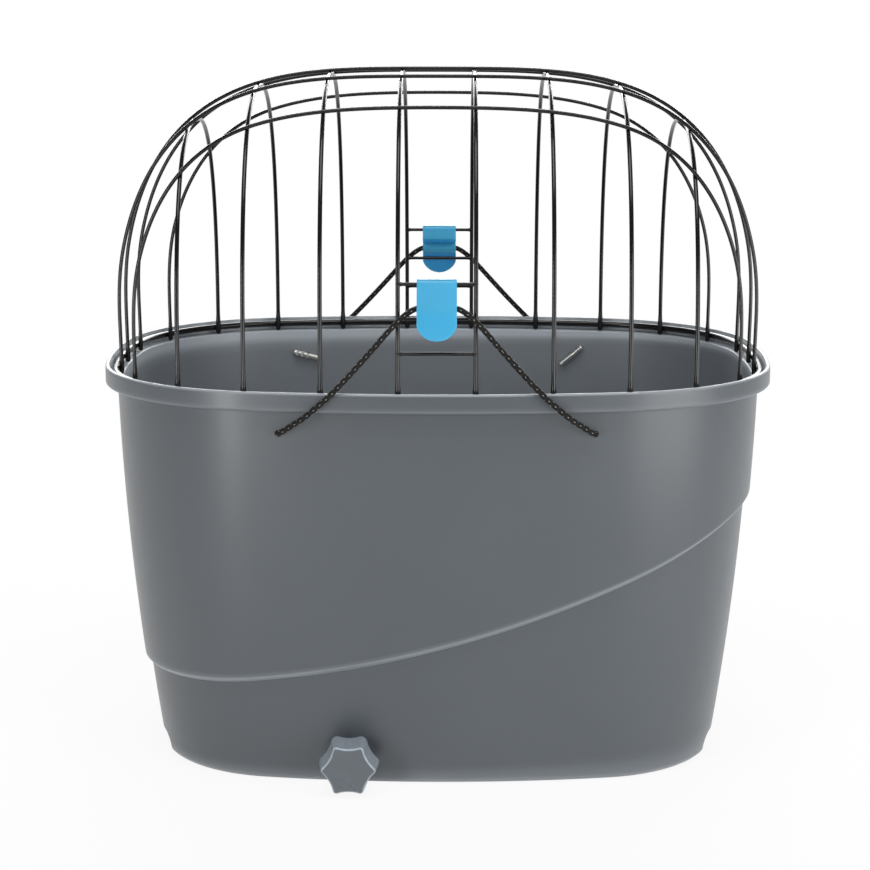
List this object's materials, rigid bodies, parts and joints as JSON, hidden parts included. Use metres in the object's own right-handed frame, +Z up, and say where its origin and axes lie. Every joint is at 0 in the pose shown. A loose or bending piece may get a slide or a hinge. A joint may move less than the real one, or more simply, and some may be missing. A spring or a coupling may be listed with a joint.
{
  "type": "bicycle pet basket",
  "caption": "Oval plastic tub for a small dog with a domed wire cage held by elastic cords on blue clips, and knob-driven clamps under the floor for a rear bicycle carrier.",
  "frame": {"origin": "middle of the footprint, on the surface that the basket stands on", "axes": "+X to the right along the basket's length, +Y to its back, +Z up; the knob in the picture is on the -Y side"},
  "size_m": [0.4698, 0.3616, 0.479],
  "materials": {
    "tub_plastic": "satin mould finish",
    "knob_plastic": "fine satin",
    "coated_wire": "glossy black coating",
    "clip_blue": "semi-gloss",
    "cord_cover": "braided cover with light flecks",
    "zinc_steel": "zinc plated",
    "jaw_plastic": "black glass-filled"
  },
  "bodies": {
    "tub": {"tub": "tub_plastic", "floor_rivets": "zinc_steel", "front_cord": "cord_cover", "rear_cord": "cord_cover", "front_cord_barbs": "zinc_steel", "rear_cord_barbs": "zinc_steel", "front_rail": "zinc_steel", "front_fixed_jaw": "jaw_plastic", "front_washer": "zinc_steel", "rear_rail": "zinc_steel", "rear_fixed_jaw": "jaw_plastic", "rear_washer": "zinc_steel"},
    "cage": {"cage_base_ring": "coated_wire", "cross_arch_1": "coated_wire", "cross_arch_2": "coated_wire", "cross_arch_3": "coated_wire", "cross_arch_4": "coated_wire", "cross_arch_5": "coated_wire", "cross_arch_6": "coated_wire", "cross_arch_7": "coated_wire", "cross_arch_8": "coated_wire", "long_arch_1": "coated_wire", "long_arch_2": "coated_wire", "long_arch_3": "coated_wire", "long_arch_4": "coated_wire", "long_arch_5": "coated_wire", "front_rungs": "coated_wire", "rear_rungs": "coated_wire"},
    "front_clip": {"front_clip": "clip_blue"},
    "rear_clip": {"rear_clip": "clip_blue"},
    "front_knob": {"front_knob": "knob_plastic", "front_clamp_screw": "zinc_steel", "front_retaining_ring": "zinc_steel"},
    "front_jaw": {"front_sliding_jaw": "jaw_plastic", "front_jaw_nut": "zinc_steel"},
    "rear_knob": {"rear_knob": "knob_plastic", "rear_clamp_screw": "zinc_steel", "rear_retaining_ring": "zinc_steel"},
    "rear_jaw": {"rear_sliding_jaw": "jaw_plastic", "rear_jaw_nut": "zinc_steel"}
  },
  "joints": [
    {"name": "cage_lift", "type": "slide", "parent": "tub", "child": "cage", "axis": [0, 0, 1], "range_m": [0, 0.1], "stiffness_N_per_m": 200, "springref_m": -0.03, "deforming": ["front_cord", "rear_cord", "front_cord_barbs", "rear_cord_barbs"]},
    {"name": "front_clip_swing", "type": "hinge", "parent": "cage", "child": "front_clip", "pos_m": [0, -0.16431, 0.346], "axis": [-1, 0, 0], "range_deg": [0, 60], "stiffness_Nm_per_rad": 0.05, "springref_deg": -5.73, "deforming": ["front_cord"]},
    {"name": "rear_clip_swing", "type": "hinge", "parent": "cage", "child": "rear_clip", "pos_m": [0, 0.16431, 0.346], "axis": [1, 0, 0], "range_deg": [0, 60], "stiffness_Nm_per_rad": 0.05, "springref_deg": -5.73, "deforming": ["rear_cord"]},
    {"name": "front_knob_turn", "type": "hinge", "parent": "tub", "child": "front_knob", "pos_m": [-0.059, -0.1, 0.02], "axis": [0, 1, 0], "range_deg": [-1440, 1440]},
    {"name": "front_jaw_slide", "type": "slide", "parent": "tub", "child": "front_jaw", "axis": [0, -1, 0], "range_m": [-0.012, 0.012]},
    {"name": "rear_knob_turn", "type": "hinge", "parent": "tub", "child": "rear_knob", "pos_m": [0.059, 0.1, 0.02], "axis": [0, -1, 0], "range_deg": [-1440, 1440]},
    {"name": "rear_jaw_slide", "type": "slide", "parent": "tub", "child": "rear_jaw", "axis": [0, 1, 0], "range_m": [-0.012, 0.012]}
  ],
  "couplings": [
    {"joint": "front_jaw_slide", "follows": "front_knob_turn", "m_per_rad": 0.00047746},
    {"joint": "rear_jaw_slide", "follows": "rear_knob_turn", "m_per_rad": 0.00047746}
  ]
}
